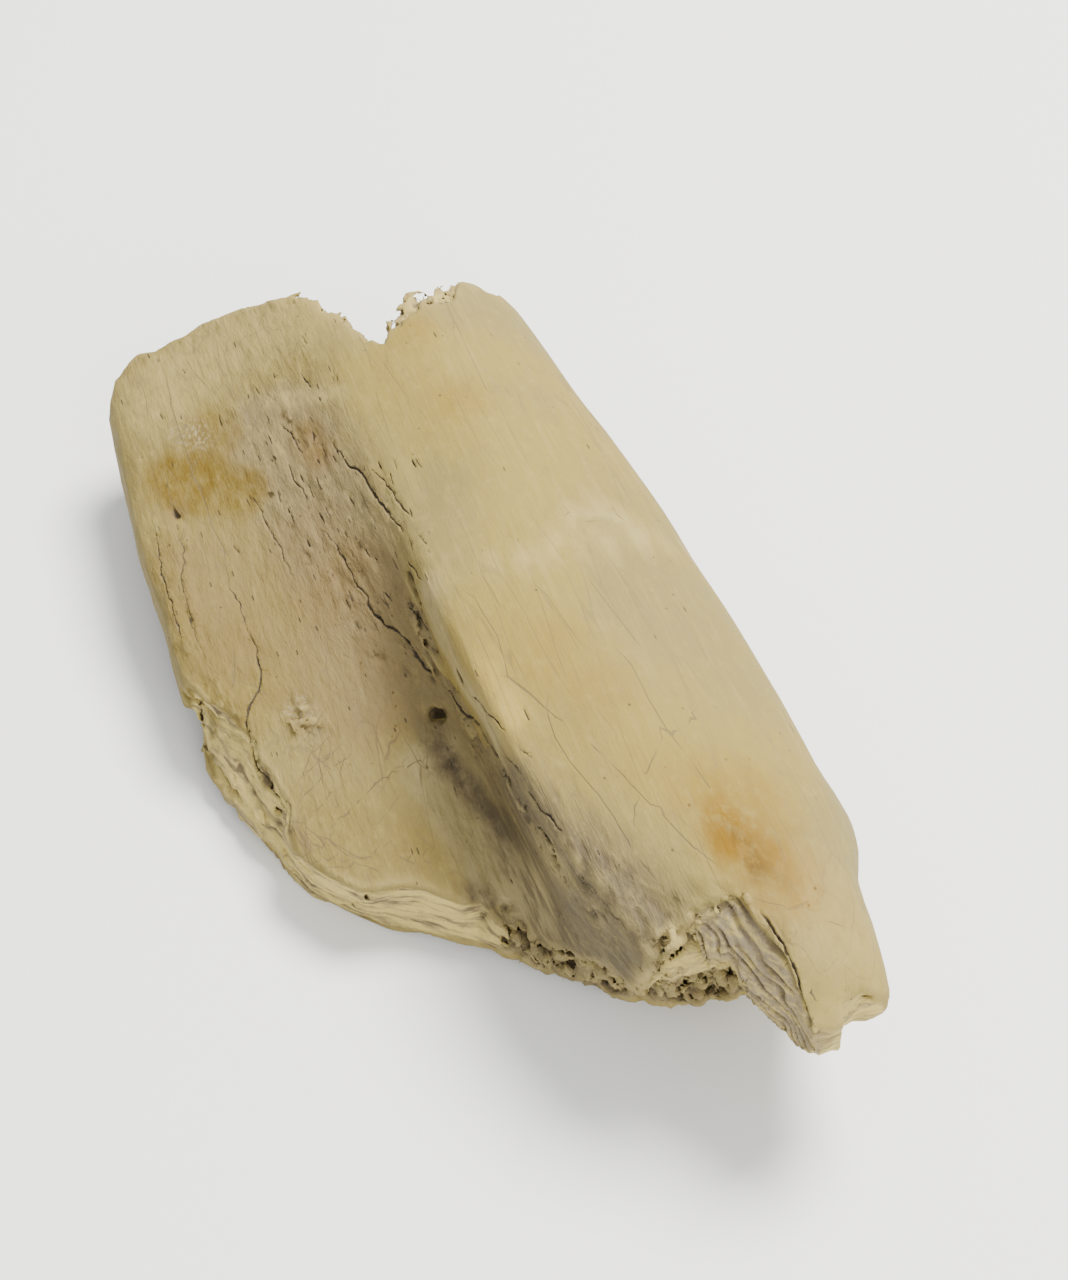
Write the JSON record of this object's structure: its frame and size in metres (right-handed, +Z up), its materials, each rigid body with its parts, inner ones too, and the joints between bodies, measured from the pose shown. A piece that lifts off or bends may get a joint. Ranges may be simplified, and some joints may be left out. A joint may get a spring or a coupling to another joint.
{
  "type": "fossil dinosaur rib fragment",
  "caption": "Broken piece of a fossil rib lying flat: a thick half-round ridge with a thinner side plate, a groove between them and rough broken ends.",
  "frame": {"origin": "on the surface that the bone lies on, under the middle of its box", "axes": "+Y along the ridge from the near end with the spur to the far end, +X from the plate to the ridge, +Z up"},
  "size_m": [0.0781, 0.1608, 0.0392],
  "materials": {
    "fossil_bone": "dull, fine-grained mineralised bone"
  },
  "bodies": {
    "root": {"rib_bone": "fossil_bone"}
  },
  "joints": []
}
